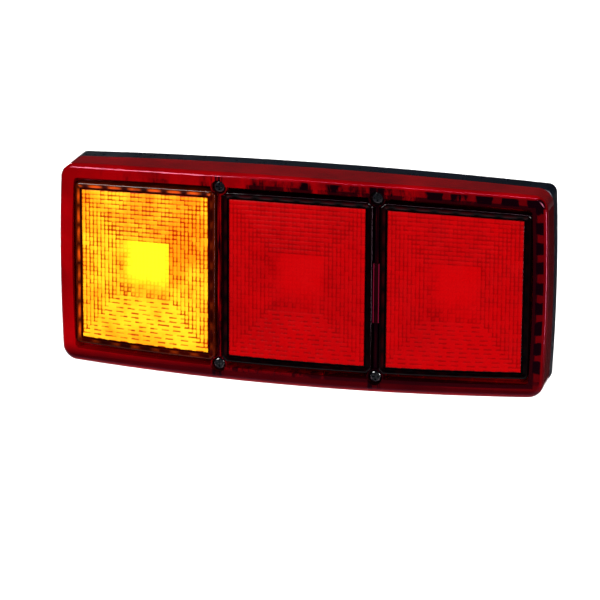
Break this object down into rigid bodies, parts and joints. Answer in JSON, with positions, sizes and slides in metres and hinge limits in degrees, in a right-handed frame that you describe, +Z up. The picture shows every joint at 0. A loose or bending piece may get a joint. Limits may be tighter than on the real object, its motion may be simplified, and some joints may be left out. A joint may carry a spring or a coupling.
{
  "type": "trailer tail light",
  "caption": "Wide bowed rear lamp for a trailer: black tray with bulbs and reflectors, red rimmed lens with an amber pane and red panes, lens screws and rear mounting studs.",
  "frame": {"origin": "centre of the flat back face that rests on the vehicle", "axes": "+X along the length to the right seen from the front, -Y out of the lens, +Y into the vehicle, +Z up"},
  "size_m": [0.2812, 0.0646, 0.121],
  "materials": {
    "black_plastic": "moulded black, satin",
    "black_rubber": "soft black rubber",
    "red_lens": "clear red, polished",
    "amber_lens": "clear amber, polished",
    "reflector": "vacuum metallised, silver",
    "zinc_steel": "zinc plated",
    "dark_steel": "black passivated",
    "brass": "stamped brass",
    "insulator": "brown laminate",
    "bulb_glass": "clear glass",
    "bulb_cap": "nickel plated brass",
    "tungsten": "drawn wire"
  },
  "bodies": {
    "lamp_base": {"base_housing": "black_plastic", "bulb_socket_left": "zinc_steel", "bulb_socket_middle": "zinc_steel", "bulb_socket_right": "zinc_steel", "cable_grommet": "black_rubber", "centre_contact_left": "brass", "centre_contact_middle": "brass", "centre_contact_right": "brass", "chamber_frames": "black_plastic", "contact_spring_left": "zinc_steel", "contact_spring_middle": "zinc_steel", "contact_spring_right": "zinc_steel", "earth_strip": "brass", "holder_rivets": "brass", "lens_gasket": "black_rubber", "live_strip_left": "brass", "live_strip_middle": "brass", "live_strip_right": "brass", "mounting_studs": "zinc_steel", "reflector_left": "reflector", "reflector_middle": "reflector", "reflector_right": "reflector", "screw_inserts": "brass", "socket_insulator_left": "insulator", "socket_insulator_middle": "insulator", "socket_insulator_right": "insulator", "terminal_block": "insulator", "terminal_screws": "zinc_steel"},
    "lens_unit": {"lens_rim": "red_lens", "amber_pane": "amber_lens", "red_pane_middle": "red_lens", "red_pane_right": "red_lens", "rating_pad": "red_lens", "screw_seals": "black_rubber"},
    "lens_screw_lower_left": {"lens_screw_lower_left": "dark_steel"},
    "lens_screw_upper_left": {"lens_screw_upper_left": "dark_steel"},
    "lens_screw_lower_right": {"lens_screw_lower_right": "dark_steel"},
    "lens_screw_upper_right": {"lens_screw_upper_right": "dark_steel"},
    "bulb_left": {"bulb_glass_left": "bulb_glass", "bulb_cap_left": "bulb_cap", "bulb_filament_left": "tungsten"},
    "bulb_middle": {"bulb_glass_middle": "bulb_glass", "bulb_cap_middle": "bulb_cap", "bulb_filament_middle": "tungsten"},
    "bulb_right": {"bulb_glass_right": "bulb_glass", "bulb_cap_right": "bulb_cap", "bulb_filament_right": "tungsten"}
  },
  "joints": [
    {"name": "lens_lift_off", "type": "slide", "parent": "lamp_base", "child": "lens_unit", "axis": [0, -1, 0], "range_m": [0, 0.08]},
    {"name": "screw_turn_lower_left", "type": "hinge", "parent": "lens_unit", "child": "lens_screw_lower_left", "pos_m": [-0.04515, -0.03, -0.0515], "axis": [0, -1, 0], "continuous": true},
    {"name": "screw_turn_upper_left", "type": "hinge", "parent": "lens_unit", "child": "lens_screw_upper_left", "pos_m": [-0.04515, -0.03, 0.0515], "axis": [0, -1, 0], "continuous": true},
    {"name": "screw_turn_lower_right", "type": "hinge", "parent": "lens_unit", "child": "lens_screw_lower_right", "pos_m": [0.04515, -0.03, -0.0515], "axis": [0, -1, 0], "continuous": true},
    {"name": "screw_turn_upper_right", "type": "hinge", "parent": "lens_unit", "child": "lens_screw_upper_right", "pos_m": [0.04515, -0.03, 0.0515], "axis": [0, -1, 0], "continuous": true},
    {"name": "bulb_turn_left", "type": "hinge", "parent": "lamp_base", "child": "bulb_left", "pos_m": [-0.08902, -0.0203, 0], "axis": [0, 0, 1], "range_deg": [0, 20]},
    {"name": "bulb_turn_middle", "type": "hinge", "parent": "lamp_base", "child": "bulb_middle", "pos_m": [0, -0.0203, 0], "axis": [0, 0, 1], "range_deg": [0, 20]},
    {"name": "bulb_turn_right", "type": "hinge", "parent": "lamp_base", "child": "bulb_right", "pos_m": [0.08902, -0.0203, 0], "axis": [0, 0, 1], "range_deg": [0, 20]}
  ]
}
